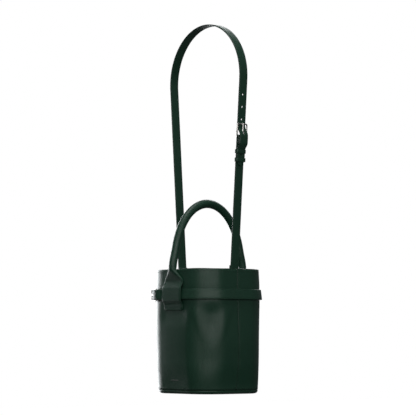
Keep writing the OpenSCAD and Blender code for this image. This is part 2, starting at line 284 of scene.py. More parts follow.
def newMaterial(name):
    m = bpy.data.materials.new(name)
    m.use_nodes = True
    tree = m.node_tree
    tree.nodes.clear()
    shader = tree.nodes.new("ShaderNodeBsdfPrincipled")
    addNode(tree, "ShaderNodeOutputMaterial", {}, {"Surface": shader.outputs[0]})
    place = tree.nodes.new("ShaderNodeTexCoord")
    return m, tree, shader, place.outputs["Object"]


def noiseAt(tree, place, scale, detail=3, roughness=0.55):
    values = {"Scale": scale, "Detail": detail, "Roughness": roughness}
    return addNode(tree, "ShaderNodeTexNoise", values, {"Vector": place}).outputs["Fac"]


def spread(tree, value, low, high, toLow, toHigh):
    values = {"From Min": low, "From Max": high, "To Min": toLow, "To Max": toHigh}
    return addNode(tree, "ShaderNodeMapRange", values, {"Value": value}).outputs["Result"]


def tint(tree, value, first, second):
    node = tree.nodes.new("ShaderNodeMix")
    node.data_type = "RGBA"
    setInputs(node, {6: (*first, 1), 7: (*second, 1)})
    tree.links.new(value, node.inputs["Factor"])
    return node.outputs[2]


def bumpFrom(tree, value, strength, distance, under=None):
    wires = {"Height": value, "Normal": under} if under else {"Height": value}
    node = addNode(tree, "ShaderNodeBump", {"Strength": strength, "Distance": distance}, wires)
    return node.outputs["Normal"]


leatherLook = {
    "deep": (0.0075, 0.0360, 0.0195),
    "bright": (0.0145, 0.0560, 0.0330),
    "roughLow": 0.36,
    "roughHigh": 0.48,
    "grainSize": 950,
    "grainDepth": 0.14 * mm,
    "grain": 0.34,
    "handlingMarks": 0.35,
}


def calfLeather(name, look):
    m, tree, shader, place = newMaterial(name)
    broad = noiseAt(tree, place, 14, 4)
    fine = noiseAt(tree, place, 260, 3)
    share = spread(tree, fine, 0.2, 0.8, 0, 0.4)
    both = addNode(tree, "ShaderNodeMath", {1: 0.6}, {0: broad, 2: share})
    both.operation = "MULTIPLY_ADD"
    colour = tint(tree, both.outputs[0], look["deep"], look["bright"])
    rough = spread(tree, noiseAt(tree, place, 32, 5, 0.65), 0.3, 0.7, look["roughLow"], look["roughHigh"])
    cells = tree.nodes.new("ShaderNodeTexVoronoi")
    cells.feature = "SMOOTH_F1"
    setInputs(cells, {"Scale": look["grainSize"], "Smoothness": 0.6})
    tree.links.new(place, cells.inputs["Vector"])
    creases = bumpFrom(tree, noiseAt(tree, place, 75, 6, 0.6), look["handlingMarks"], 0.35 * mm)
    pores = bumpFrom(tree, cells.outputs["Distance"], look["grain"], look["grainDepth"], creases)
    wireUp(tree, shader, {"Base Color": colour, "Roughness": rough, "Normal": pores})
    setInputs(shader, {"Specular IOR Level": 0.36, "Coat Weight": 0.10, "Coat Roughness": 0.34})
    return m


def plainSurface(name, deep, bright, rough, scale, depth, metal=0.0, sheen=0.0):
    m, tree, shader, place = newMaterial(name)
    wires = {
        "Base Color": tint(tree, noiseAt(tree, place, scale, 4), deep, bright),
        "Roughness": spread(tree, noiseAt(tree, place, scale * 3.1, 5), 0.3, 0.7, *rough),
        "Normal": bumpFrom(tree, noiseAt(tree, place, scale * 8, 3), 0.4, depth * mm),
    }
    wireUp(tree, shader, wires)
    setInputs(shader, {"Metallic": metal, "Sheen Weight": sheen})
    return m


panelLeather = calfLeather("panelLeather", leatherLook)
strapLook = {"grain": 0.42, "roughLow": 0.38, "roughHigh": 0.50}
strapLeather = calfLeather("strapLeather", {**leatherLook, **strapLook})
handleLeather = calfLeather("handleLeather", {**leatherLook, "grain": 0.42, "handlingMarks": 0.5})
# deep and bright colour, roughness range, mottle scale, bump depth in millimetres
surfaces = {
    "edgePaint": ((0.0035, 0.0150, 0.0085), (0.0065, 0.0240, 0.0140), (0.32, 0.46), 120, 0.05),
    "suede": ((0.018, 0.042, 0.028), (0.036, 0.070, 0.048), (0.85, 0.98), 90, 0.25, 0.0, 0.35),
    "thread": ((0.0075, 0.0330, 0.0185), (0.0140, 0.0500, 0.0300), (0.5, 0.7), 700, 0.08),
    "platedMetal": ((0.68, 0.665, 0.63), (0.79, 0.775, 0.745), (0.16, 0.28), 60, 0.012, 1.0),
    "foil": ((0.17, 0.175, 0.165), (0.27, 0.27, 0.255), (0.42, 0.6), 300, 0.02, 0.7),
    "pulpBoard": ((0.20, 0.15, 0.10), (0.28, 0.22, 0.15), (0.8, 0.95), 160, 0.2),
    "cottonRope": ((0.45, 0.40, 0.32), (0.58, 0.53, 0.44), (0.8, 0.95), 200, 0.3),
}
plain = {name: plainSurface(name, *look) for name, look in surfaces.items()}
edgePaint = plain["edgePaint"]
suede = plain["suede"]
thread = plain["thread"]
platedMetal = plain["platedMetal"]
print("materials ready")


# the plan outline, from the left seam round the front to the right seam
straightX = 2 * cornerX
quarter = body["cornerRadius"] * pi / 2
halfRound = 2 * cornerY + 2 * quarter + straightX


def outline(run, back=False):
    s = run
    r = body["cornerRadius"]
    if s < cornerY:
        p, n = vec(-halfX, -s, 0), vec(-1, 0, 0)
    elif s < cornerY + quarter:
        a = pi + (s - cornerY) / r
        n = vec(cos(a), sin(a), 0)
        p = vec(-cornerX, -cornerY, 0) + n * r
    elif s < cornerY + quarter + straightX:
        p, n = vec(-cornerX + s - cornerY - quarter, -halfY, 0), vec(0, -1, 0)
    elif s < cornerY + 2 * quarter + straightX:
        a = 1.5 * pi + (s - cornerY - quarter - straightX) / r
        n = vec(cos(a), sin(a), 0)
        p = vec(cornerX, -cornerY, 0) + n * r
    else:
        p, n = vec(halfX, -cornerY + s - cornerY - 2 * quarter - straightX, 0), vec(1, 0, 0)
    if back:
        p.y, n.y = -p.y, -n.y
    return p, n


def drawnIn(z):
    if z > beltZ:
        return body["rimInset"] * (z - beltZ) / (rimZ - beltZ)
    return body["baseInset"] * ((beltZ - z) / (beltZ - baseZ)) ** 1.4


# the hollow pressed into the near corner below the belt, with two soft ridges and fuller leather under it
def cornerDent(p, z):
    if p.x > halfX - 0.5 * mm:
        along = (p.y + cornerY) + body["dentAngle"] * body["cornerRadius"]
    elif p.x > cornerX:
        angle = atan2(p.y + cornerY, p.x - cornerX)
        along = (angle + body["dentAngle"]) * body["cornerRadius"]
    else:
        along = p.x - cornerX - (pi / 2 - body["dentAngle"]) * body["cornerRadius"]
    down = (beltLow.z - 1 * mm - z) / body["dentLength"]
    give = 0.0
    if 0 < down < 1:
        off = abs(along) / (body["dentWidth"] * (1 - 0.72 * down))
        reach = smoothStep(down / 0.28) * (1 - smoothStep((down - 0.35) / 0.65))
        give -= body["dentDepth"] * smoothStep(1 - off) * reach
        give += 0.9 * mm * hump(off, 1.25, 0.55) * reach
    low = Vector((along + 3 * mm, z - rimZ + 188 * mm)).length / (34 * mm)
    return give + 1.3 * mm * smoothStep(1 - low)


# how far the soft wall stands out from its pattern, and how high the rim waves
def wallGive(p, n, z):
    wave = noise.noise(vec(p.x * 13, p.y * 13, z * 9 + 3.1)) * body["wallWave"]
    wave *= ramp(rimZ - z, 0, 12) * 0.5 + 0.5
    belted = hump(z, beltZ, beltWidth)
    flatX = max(0.0, 1 - (p.x / (cornerX + 30 * mm)) ** 2) if abs(n.y) > 0.5 else 0.0
    flatY = max(0.0, 1 - (p.y / (cornerY + 30 * mm)) ** 2) if abs(n.x) > 0.5 else 0.0
    sag = ramp(beltLow.z - z, 0, body["sagLength"]) * ramp(z - baseZ, 6, 50)
    full = body["fullness"] * max(flatX, flatY) * sag
    give = (wave + full) * (1 - belted) * ramp(z - baseZ, 4, 22) - 0.5 * mm * belted
    underTab = ramp(abs(p.x), 22, 28) if abs(p.y) > cornerY + 40 * mm else 1.0
    give *= mix(underTab, 1.0, ramp(rimZ - z, body["tabReach"], 30))
    give -= 0.15 * mm * (1 - ramp(abs(p.y), 0, 5))
    if p.y < 0 and p.x > 0:
        give += cornerDent(p, z)
    return give


def rimWave(p):
    return noise.noise(vec(p.x * 16 + 7, p.y * 16, 1.7)) * body["rimWave"]


def wallPoint(run, z, back, inward=0.0):
    p, n = outline(run, back)
    q = p - n * (drawnIn(z) + inward - wallGive(p, n, z))
    q.z = z + rimWave(p) * smoothStep((z - beltZ) / (rimZ - beltZ))
    return q


# body panels
def cutPanel(name, back):
    t = body["leather"]
    low = baseZ + body["baseRound"] + 0.3 * mm
    high = rimZ - 0.6 * mm
    heights = steps(low, high, 72)
    near = [0.06 * mm, 0.41 * mm, 1.06 * mm]
    runs = near + steps(2.4 * mm, halfRound - 2.4 * mm, 150) + [halfRound - r for r in reversed(near)]
    last = len(runs) - 1
    rows = []
    for k, run in enumerate(runs):
        tuck = (0.30 * mm, 0.08 * mm, 0.02 * mm, 0)[min(k, last - k, 3)]
        row = [wallPoint(run, low + 0.4 * mm, back, 0.9 * mm)]
        row += [wallPoint(run, z, back, tuck) for z in heights]
        row += [wallPoint(run, high + 0.3 * mm, back, 0.5 * mm)]
        row += [wallPoint(run, z, back, t - tuck) for z in reversed(heights)]
        rows.append(row)
    return stretchSkin(name, rows, [panelLeather, edgePaint], wrap=True, cap=True,
        slotOf=lambda j, i: int(j in (0, last - 1)))


fit(cutPanel("frontPanel", False), "bag", "panel_leather", "front_panel")
fit(cutPanel("backPanel", True), "bag", "panel_leather", "back_panel")


# the whole outline at height z drawn in by inward, as count even steps
def fullRound(z, inward, count=200, soft=True):
    out = []
    for k in range(count):
        run = 2 * halfRound * k / count
        back = run >= halfRound
        s = 2 * halfRound - run if back else run
        if soft:
            out.append(wallPoint(s, z, back, inward))
        else:
            p, n = outline(s, back)
            out.append(p - n * inward + up * z)
    return out


def baseEdge():
    r = body["baseRound"]
    inset = body["baseInset"]
    rows = []
    for k in range(11):
        a = pi / 2 * k / 10
        inward = inset + r * (1 - sin(a)) - 0.5 * mm * sin(2 * a)
        rows.append(fullRound(baseZ + r * (1 - cos(a)), inward, soft=False))
    rows[-1] = fullRound(baseZ + r - 0.1 * mm, inset + 0.5 * mm, soft=False)
    flat = rows[0]
    middle = vec(0, 0, baseZ)
    inner = []
    for f in (0.97, 0.8, 0.6, 0.4, 0.2, 0.08):
        inner.append([mix(p, middle, f) + up * (0.5 * mm * smoothStep(f)) for p in flat])
    shell = stretchSkin("basePanel", inner + rows, [panelLeather], wrap=True)
    bm = bmesh.new()
    bm.from_mesh(shell.data)
    hole = [e for e in bm.edges if e.is_boundary and e.verts[0].co.z < baseZ + 2 * mm]
    bmesh.ops.holes_fill(bm, edges=hole)
    bmesh.ops.recalc_face_normals(bm, faces=bm.faces)
    bm.to_mesh(shell.data)
    bm.free()
    return shell


fit(baseEdge(), "bag", "panel_leather", "base_panel")


# rolled bead of edge paint over the cut tops of panel and facing
def rimEdge():
    rows = []
    across = body["leather"] + body["lining"] + 0.2 * mm
    for k in range(9):
        a = pi * k / 8
        inward = across / 2 - (across / 2 + 0.05 * mm) * cos(a)
        rise = 0.75 * mm * sin(a)
        ring = fullRound(rimZ - 0.7 * mm, inward, 260)
        rows.append([p + up * rise for p in ring])
    return stretchSkin("rimEdge", rows, [edgePaint], wrap=True)


def liningShell(name, material, low, high, thick, turnIn):
    inward = body["leather"] + 0.25 * mm
    heights = steps(low, high, max(4, int((high - low) / (9 * mm))))
    rows = [fullRound(z, inward, 170) for z in heights]
    rows += [fullRound(z, inward + thick, 170) for z in reversed(heights)]
    if turnIn:
        floor = fullRound(low, inward + thick + 3 * mm, 170)
        middle = vec(0, 0, low)
        rows += [[mix(p, middle, f) for p in floor] for f in (0, 0.25, 0.5, 0.75, 0.97)]
        return stretchSkin(name, rows, [material], wrap=True)
    return stretchSkin(name, rows, [material], wrap=True, loop=True)


rimBead = rimEdge()
facingFoot = rimZ - body["facingHeight"]
facing = liningShell("facingBand", panelLeather, facingFoot, rimZ - 0.7 * mm, body["lining"], False)
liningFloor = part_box("base_board")[1].z + 0.2 * mm
lining = liningShell("liningBag", suede, liningFloor, facingFoot - 0.3 * mm, 1 * mm, True)
fit(rimBead, "bag", "trim_leather")
fit(facing, "bag", "trim_leather", "facing")
fit(lining, "bag", "lining_suede", "lining")
print("body ready")


# straps and belts: a flat section with rounded painted edges and a creased line
def strapSection(width, thick):
    half = width / 2
    t = thick / 2
    across = [1, 0.93, 0.86, 0.83, 0.80, 0.6, 0.3, 0]
    drop = [0.30, 0.08, 0.05, 0.14, 0.02, 0.0, 0.0, 0.0]
    edge = [(half, -0.35 * t), (half + 0.12 * t, 0), (half, 0.35 * t)]
    top = [(half * a * (0.985 if a == 1 else 1), t * (1 - d)) for a, d in zip(across, drop)]
    top += [(-a, b) for a, b in reversed(top[:-1])]
    left = [(-a, b) for a, b in reversed(edge)]
    under = [(a, -b) for a, b in reversed(top)]
    return edge + top + left + under


def edgeSlots(section, width):
    marks = []
    for here, after in zip(section, section[1:] + section[:1]):
        marks.append(1 if min(abs(here[0]), abs(after[0])) > width / 2 * 0.975 else 0)
    return lambda j, i: marks[i]


def flatRun(path, sideways):
    return [[p, sideways, wayAt(path, k).cross(sideways).normalized(), 1, 1] for k, p in enumerate(path)]


def evenly(path, step):
    out = [path[0]]
    carry = 0.0
    for a, b in zip(path, path[1:]):
        length = (b - a).length
        at = step - carry
        while at <= length:
            out.append(a + (b - a) * (at / length))
            at += step
        carry = length - (at - step)
    out.append(path[-1])
    return out


# two rounds of smoothing that keep the ends where they are
def relax(path):
    for k in range(2):
        inner = [(a + b * 2 + c) / 4 for a, b, c in zip(path, path[1:], path[2:])]
        path = [path[0]] + inner + [path[-1]]
    return path


def layStrap(name, path, width, thick, sideways, tipped=False, step=2.2 * mm, leanOut=None):
    stations = flatRun(relax(evenly(path, step)), sideways)
    if leanOut:
        for place in stations:
            a = leanOut(place[0])
            u, v = place[1], place[2]
            place[0] = place[0] - v * (width / 2 * sin(a))
            place[1] = u * cos(a) - v * sin(a)
            place[2] = v * cos(a) + u * sin(a)
    for order, pointed in ((stations, False), (stations[::-1], tipped)):
        run = 0.0
        previous = order[0][0]
        for place in order:
            run += (place[0] - previous).length
            previous = place[0]
            if pointed:
                reach = min(run / (width * 0.72), 1)
                place[3] = max(sqrt(1 - (1 - reach) ** 1.7), 0.12)
            elif run < 1.2 * mm:
                place[3] = 0.985
    section = strapSection(width, thick)
    marks = edgeSlots(section, width)
    return carrySection(name, stations, section, [strapLeather, edgePaint], slotOf=marks), stations


shoulder = {
    "thick": 2.4 * mm,
    "endBelowRim": 20 * mm,
    "foldRadius": 3.3 * mm,
    "layerGap": 0.3 * mm,
    "archRadius": 99.2 * mm,
    "tipBelowBuckle": 52 * mm,
    "frameLength": 22 * mm,
    "pinRadius": 1.3 * mm,
    "holeRadius": 1.75 * mm,
    "holePitch": 22 * mm,
    "studRun": 14 * mm,
}
strandX = ringBar.x + shoulder["foldRadius"]
strandFoot = vec(strandX, 0, rimZ - shoulder["endBelowRim"])
foldOut = shoulder["pinRadius"] + 0.1 * mm + shoulder["thick"] / 2
buckleRun = (strapHeel - strandFoot).dot(strandUp)
layer = shoulder["thick"] + shoulder["layerGap"]
lean = degrees(atan2(strandUp.x, strandUp.z))


def onRight(s, n):
    return strandFoot + strandUp * s + strandOut * n


def onLeft(s, n):
    p = onRight(s, n)
    return vec(-p.x, p.y, p.z)


def foldRound(s, n, r, start, end, count):
    return [(s + r * cos(radians(a)), n + r * sin(radians(a))) for a in steps(start, end, count)]


def easeRise(t):
    return (1 - cos(pi * t)) / 2


hookFold = [(26 * mm, -layer), (9 * mm, -layer), (4.5 * mm, -2 * shoulder["foldRadius"] + 1.2 * mm)]
hookFold += foldRound(0, -shoulder["foldRadius"], shoulder["foldRadius"], 270, 90, 12)
tongueHigh = 3 * shoulder["thick"] + 2 * shoulder["pinRadius"] + 0.6 * mm - shoulder["thick"] / 2
tongue = [(buckleRun + (18 - 2 * k) * mm, tongueHigh * easeRise(k / 8)) for k in range(9)]
tongue += [(buckleRun - 14 * mm, tongueHigh), (buckleRun - 22 * mm, layer)]
tongue.append((buckleRun - shoulder["tipBelowBuckle"], layer))
buckleFold = [(buckleRun - 14 * mm, 2 * foldOut)] + foldRound(buckleRun, foldOut, foldOut, 90, -90, 12)
archMiddle = up * (shoulder["thick"] / 2 - shoulder["archRadius"])
archPath = arcRun(archMiddle, sideX, up, shoulder["archRadius"], 180 + lean, -lean, 60)
longPath = [onLeft(s, n) for s, n in hookFold] + archPath + [onRight(s, n) for s, n in tongue]
shortPath = [onRight(s, n) for s, n in buckleFold] + [onRight(s, n) for s, n in reversed(hookFold)]

thick = shoulder["thick"]
longStrap, longStations = layStrap("longStrap", longPath, strapWidth, thick, sideY, True)
shortStrap, shortStations = layStrap("shortStrap", shortPath, strapWidth, thick, sideY)


# punches holes with plain cutters and leaves a plain mesh
def punch(strip, cutters):
    for cutter in cutters:
        cut = strip.modifiers.new("punch", "BOOLEAN")
        cut.operation = "DIFFERENCE"
        cut.solver = "EXACT"
        cut.object = cutter
    bake(strip)
    for cutter in cutters:
        bpy.data.objects.remove(cutter)


def holeCutter(where, axis, radius, depth, stretch=1.0, along=None):
    side = along or axis.orthogonal().normalized()
    n = 20
    points = []
    for a in turns(n):
        spoke = side * (cos(a) * radius * stretch) + axis.cross(side) * (sin(a) * radius)
        points += [where + spoke - axis * depth, where + spoke + axis * depth]
    faces = [(2 * k, 2 * ((k + 1) % n), 2 * ((k + 1) % n) + 1, 2 * k + 1) for k in range(n)]
    faces += [tuple(2 * k for k in range(n)), tuple(2 * k + 1 for k in range(n))]
    return finishMesh("cutter", points, faces, [edgePaint])


hole = shoulder["holeRadius"]
cutters = [holeCutter(onRight(buckleRun - 33 * mm, layer), strandOut, hole, 1.8 * mm)]
for k in range(3):
    spare = onRight(buckleRun + 30 * mm + shoulder["holePitch"] * k, 0)
    cutters.append(holeCutter(spare, strandOut, hole, 4 * mm))
tongueSlot = onRight(buckleRun + 8.5 * mm, 6 * mm)
cutters.append(holeCutter(tongueSlot, strandOut, 1.7 * mm, 5 * mm, 3.2, strandUp))
punch(longStrap, cutters)
pinSlot = onRight(buckleRun + 1 * mm, 3 * mm)
punch(shortStrap, [holeCutter(pinSlot, strandUp, 2.1 * mm, 5 * mm, 2.3, strandOut)])
fit(longStrap, "strap", "strap_leather", "strap_long")
fit(shortStrap, "strap", "strap_leather", "strap_short")
print("shoulder strap ready")


keeper = {"corner": 1.3 * mm, "height": 7 * mm, "thick": 1.35 * mm, "sideSlack": 0.5 * mm}


def loopBand(name, middle, wide, deep):
    ring = []
    corner = keeper["corner"]
    for qx, qy, start in ((1, 1, 0), (-1, 1, 90), (-1, -1, 180), (1, -1, 270)):
        for k in range(7):
            a = radians(start + 15 * k)
            x = qx * (wide / 2 - corner) + corner * cos(a)
            y = qy * (deep / 2 - corner) + corner * sin(a)
            ring.append((middle + sideY * x + strandOut * y, sideY * cos(a) + strandOut * sin(a)))
    half = keeper["height"] / 2
    t = keeper["thick"]
    section = [(0, -half + 0.3 * mm), (0.1 * t, -half), (0.9 * t, -half), (t, -half + 0.35 * mm), (t, 0)]
    section += [(a, -b) for a, b in reversed(section[:-1])]
    stations = [(p, out, strandUp, 1, 1) for p, out in ring]
    marks = [1, 1, 1, 0, 0, 1, 1, 1, 0]
    return carrySection(name, stations, section, [strapLeather, edgePaint], loop=True,
        slotOf=lambda j, i: marks[i])


def strapKeeper(name, node, bodyName):
    low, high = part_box(node)
    deep = shoulder["thick"] + layer + 0.3 * mm
    band = loopBand(name, (low + high) / 2, strapWidth + keeper["sideSlack"], deep)
    fit(band, bodyName, "trim_leather", node)


strapKeeper("fixedKeeper", "strap_keeper_fixed", "strap")
strapKeeper("looseKeeper", "strap_keeper_loose", "strap_keeper")


# a closed run round a rectangle, half wide to each side along u and from low to high along v
def roundedFrame(origin, u, v, half, low, high, r):
    path = []
    corners = ((half - r, high - r), (r - half, high - r), (r - half, low + r), (half - r, low + r))
    for k, (x, y) in enumerate(corners):
        path += arcRun(origin + u * x + v * y, u, v, r, 90 * k, 90 * k + 90, 5)
    return path


# a cosine or sine pushed towards a squarer curve
def squared(c, power):
    return copysign(abs(c) ** power, c)


# buckles: a softened rectangular frame and a tapered prong with a curled eye
def buckleFrame(name, heel, across, along, out, half, length, pin):
    path = roundedFrame(heel, across, along, half, 0, length, 2.6 * mm)
    stations = []
    n = len(path)
    for k, p in enumerate(path):
        way = (path[(k + 1) % n] - path[k - 1]).normalized()
        stations.append((p, way.cross(out).normalized(), out, 1, 1))
    s = pin * 1.04
    section = [(s * 0.98 * squared(cos(a), 0.7), s * 0.95 * squared(sin(a), 0.7)) for a in turns(16, 0.5)]
    return carrySection(name, stations, section, [platedMetal], loop=True)


def bucklePin(name, heel, across, along, out, length, pin):
    r = 1.0 * mm
    rise = pin + r + 0.3 * mm
    run = arcRun(heel, along, out, pin + 0.75 * mm, -150, 66, 9)
    run.append(heel + along * (pin + 1.8 * mm) + out * (rise * 0.93))
    for f in (0.35, 0.6, 0.85, 0.97):
        run.append(heel + along * (length * f) + out * (rise + 0.5 * mm * sin(pi * f)))
    run.append(heel + along * (length + 1.5 * mm) + out * (rise - 0.25 * mm))
    stations = flatRun(relax(evenly(run, 0.8 * mm)), across)
    for k, place in enumerate(stations):
        f = k / (len(stations) - 1)
        place[3] = mix(1.35, 0.85, smoothStep(f)) * (0.55 if f > 0.985 else 1)
        place[4] = 0.78 if f < 0.4 else 0.9
    return carrySection(name, stations, roundSection(r, 12), [platedMetal])


# the frame stays with frameBody and the prong tilts on its own body
def fitBuckle(name, heel, across, along, out, width, length, frameBody):
    pin = shoulder["pinRadius"]
    frameHalf = width / 2 + pin + 0.5 * mm
    shape = buckleFrame(name + "Buckle", heel, across, along, out, frameHalf, length, pin)
    fit(shape, frameBody, "hardware", name + "_buckle")
    prong = bucklePin(name + "Pin", heel, across, along, out, length, pin)
    fit(prong, name + "_prong", "hardware", name + "_prong")


beltOut = vec(beltHeel.x + cornerX, beltHeel.y + cornerY, 0).normalized()
beltAlong = vec(beltOut.y, -beltOut.x, 0)
fitBuckle("strap", strapHeel, sideY, strandUp, strandOut, strapWidth, shoulder["frameLength"], "strap")
fitBuckle("belt", beltHeel, up, beltAlong, beltOut, beltWidth, 24 * mm, "bag")
print("buckles ready")


# the belt round the body
belt = {
    "thick": 2 * mm,
    "heelAngle": -109,
    "flapAngle": -98,
    "climbFrom": -150,
    "climbTo": -107,
    "tipX": 14 * mm,
    "lean": 6.5,
}


def runBelt():
    t = belt["thick"]
    bend = body["cornerRadius"] + 0.3 * mm + t / 2
    fold = shoulder["pinRadius"] + 0.1 * mm + t / 2
    bar = bend + fold
    over = bar + fold + t + 0.2 * mm
    under = bend + t + 0.3 * mm
    corner = vec(-cornerX, -cornerY, beltZ)
    heel, flap, climb = belt["heelAngle"], belt["flapAngle"], belt["climbTo"]

    def polar(a, r):
        return corner + sideX * (r * cos(radians(a))) + sideY * (r * sin(radians(a)))

    path = [polar(a, bar + fold) for a in steps(flap, heel + 2, 4)]
    path += arcRun(polar(heel, bar), sideX, sideY, fold, heel, heel - 180, 10)
    path += [polar(a, bend) for a in steps(heel + 3, -90, 5)]
    for x, y, start in ((cornerX, -cornerY, -90), (cornerX, cornerY, 0), (-cornerX, cornerY, 90)):
        path += arcRun(vec(x, y, beltZ), sideX, sideY, bend, start, start + 90, 20)
    path += [polar(a, bend) for a in steps(-180, belt["climbFrom"], 8)]
    for k in range(1, 13):
        path.append(polar(mix(belt["climbFrom"], climb, k / 12), mix(bend, over, easeRise(k / 12))))
    path += [polar(a, over) for a in steps(climb + 3, flap, 3)]
    path += [polar(flap + 3 * k, mix(over, under, easeRise(k / 4))) for k in (1, 2)]
    last = [(1 * mm - cornerX, mix(over, under, easeRise(0.75)))]
    last += [(6 * mm - cornerX, under), (belt["tipX"], under)]
    return path + [vec(x, -cornerY - out, beltZ) for x, out in last]


# the lower edge of the belt stands a little off the body, but not under the tabs or at the buckle
def beltLean(p):
    clearOfBuckle = ramp(p.x, -8, 30) if p.y < -cornerY else 1.0
    clearOfCorner = ramp(p.y + cornerY, 0, 20) if p.x < -cornerX else 1.0
    clearOfTab = ramp(abs(p.x), 27, 14) if p.y > 0 and abs(p.x) < cornerX + 20 * mm else 1.0
    return radians(belt["lean"]) * clearOfBuckle * clearOfCorner * clearOfTab


beltStrip, beltStations = layStrap("beltStrip", runBelt(), beltWidth, belt["thick"], -up, True,
    1.8 * mm, beltLean)
slotAt = beltHeel + beltAlong * 4.5 * mm + beltOut * 5 * mm
punch(beltStrip, [holeCutter(slotAt, beltOut, 2.0 * mm, 5.6 * mm, 4.6, beltAlong)])
fit(beltStrip, "bag", "trim_leather", "belt")
print("belt ready")


# handle: one rolled arch whose ends flatten into the two tabs
handle = {
    "tabHalf": 26 * mm,
    "tabLength": 73 * mm,
    "tabThick": 2.4 * mm,
    "cornerRound": 5 * mm,
    "seamRidge": 0.7 * mm,
    "stance": 4.4 * mm,
    "ropeRadius": 2.3 * mm,
    "ropeTurns": 26,
}
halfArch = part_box("handle_core")[1].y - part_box("handle_core")[1].x
archRise = handleTop - shaft - handleRoot.z


# half the width of the tab at a depth below the rim: the leg opens in a hollow curve, then runs straight
def tabOutline(depth):
    wide = mix(shaft, handle["tabHalf"], ramp(depth, -3, 28))
    end = handle["tabLength"] - depth
    r = handle["cornerRound"]
    if end < r:
        wide -= r - sqrt(max(0.0, r * r - (r - end) ** 2))
    return wide


# the rolled leg stands outside the wall at the rim and eases back to the line of the arch
def legOut(z):
    return handle["stance"] * (1 - ramp(z - rimZ, 0, 38))


def tabProfile(depth, layers):
    thickRound = mix(handle["tabThick"] / 2, shaft, 1 - ramp(depth, -7, 31))
    z = rimZ - depth
    wall = halfY - drawnIn(min(z, rimZ)) + 0.15 * mm
    bulge = layers * (belt["thick"] + 0.3 * mm) + 0.3 * mm
    rise = ramp(beltHigh.z - z, -15, 14) * ramp(z - beltLow.z, -10, 9.5)
    flat = wall + thickRound + bulge * rise
    above = ramp(-depth, -3, 6)
    return mix(flat, halfArch + legOut(z), above), thickRound


def archPoint(a):
    z = handleRoot.z + archRise * sin(a)
    c = cos(a)
    return vec(0, -halfArch * c - copysign(legOut(z), c), z)


# square to the arch, pointing away from its middle
def archOut(a):
    way = (archPoint(a + 0.004) - archPoint(a - 0.004)).normalized()
    return vec(0, -way.z, way.y)


def handleShape():
    def ring(middle, out, wide, thick, square, ridge):
        row = []
        for a in turns(44, 0.5):
            x = wide * squared(cos(a), square)
            v = thick * squared(sin(a), square)
            if ridge and v < 0:
                v -= handle["seamRidge"] * ridge * max(0, 1 - abs(x) / (1.9 * mm)) ** 0.6
            row.append(middle + sideX * x + out * v)
        return row

    def tabSide(sign, layers):
        side = []
        count = 74
        for k in range(count + 1):
            depth = handle["tabLength"] - (handle["tabLength"] + 7.5 * mm) * k / count
            y, thick = tabProfile(depth, layers)
            flatness = ramp(depth, -3, 24)
            middle = vec(0, sign * y, rimZ - depth)
            square = mix(1.0, 0.32, flatness)
            side.append(ring(middle, sideY * sign, tabOutline(depth), thick, square, 1 - flatness))
        return side

    front = tabSide(-1, 2)
    back = tabSide(1, 1)
    top = []
    for k in range(1, 96):
        a = pi * k / 96
        top.append(ring(archPoint(a), archOut(a), shaft, shaft, 1.0, 1))
    return front + top + list(reversed(back))


handleTabs = stretchSkin("handleTabs", handleShape(), [handleLeather], wrap=True, cap=True)
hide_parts("handle_cover", "front_tab", "back_tab")
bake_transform(handleTabs)


# three twisted strands of rope inside the rolled handle
def twistedCore():
    strands = []
    r = handle["ropeRadius"]
    for k in range(3):
        path = []
        for j in range(121):
            a = mix(0.09, pi - 0.09, j / 120)
            turn = handle["ropeTurns"] * a + 2 * pi * k / 3
            path.append(archPoint(a) + (sideX * cos(turn) + archOut(a) * sin(turn)) * r)
        strands.append(wireRun("ropeStrand", path, r, 10, material=plain["cottonRope"]))
    return joinPieces("handleCore", strands)


fit(twistedCore(), "handle", "rope", "handle_core")
print("handle ready")


# hardware inside the mouth; each maker is given its side and the name that goes with it
mouth = {
    "ringBow": 10.5 * mm,
    "ringLeg": 5 * mm,
    "ringWire": 1.6 * mm,
    "hookReach": ringBar.x - joints["gate_right_open"]["pos_m"][0],
    "hookWire": 1.75 * mm,
    "armWire": 1.9 * mm,
    "collarHeight": 6 * mm,
    "gateWire": 1.15 * mm,
    "thumbHeight": 5.6 * mm,
    "loopWire": 1.65 * mm,
    "loopCorner": 2.4 * mm,
    "tabWidth": 16 * mm,
    "tabThick": 1.6 * mm,
    "tabTurn": 2.55 * mm,
}
collarProfile = [(2.1, 0), (3.6, 0), (4.4, 0.6), (4.6, 1.4), (4.6, 2.2), (4.1, 2.8), (4.1, 3.6)]
collarProfile += [(4.6, 4.2), (4.5, 5.3), (3.9, 6), (2.1, 6)]
knobProfile = [(0, 2.3), (0.9, 2.2), (1.5, 1.7), (1.6, 1.2), (1.1, 0.4)]
postProfile = [(0, -1.5), (2.6, -1.5), (3.2, -0.9), (3.2, -0.3), (2.9, 0.1), (2, 0.2), (2, 6.4)]
postProfile += [(3.2, 6.7), (3.5, 7.5), (3.5, 9.0), (2.6, 9.8), (0, 9.9)]
studProfile = [(0, 1.5), (1.4, 1.4), (2.7, 1.0), (3.4, 0.5), (3.6, 0.1), (3.5, 0), (1.5, 0), (1.5, -3)]


def ringLoop(side, name):
    bar = vec(side * ringBar.x, 0, ringBar.z)
    bow = mouth["ringBow"]
    leg = mouth["ringLeg"]
    path = [bar + sideY * bow + up * leg * f for f in (0.25, 0.6)]
    path += arcRun(bar + up * leg, sideY, up, bow, 0, 180, 22)
    path += [bar - sideY * bow + up * leg * f for f in (0.6, 0.25)]
    path += [bar - sideY * bow * f for f in (0.93, 0.8, 0.4, 0, -0.4, -0.8, -0.93)]
    return wireRun("ring" + name, path, mouth["ringWire"], loop=True)


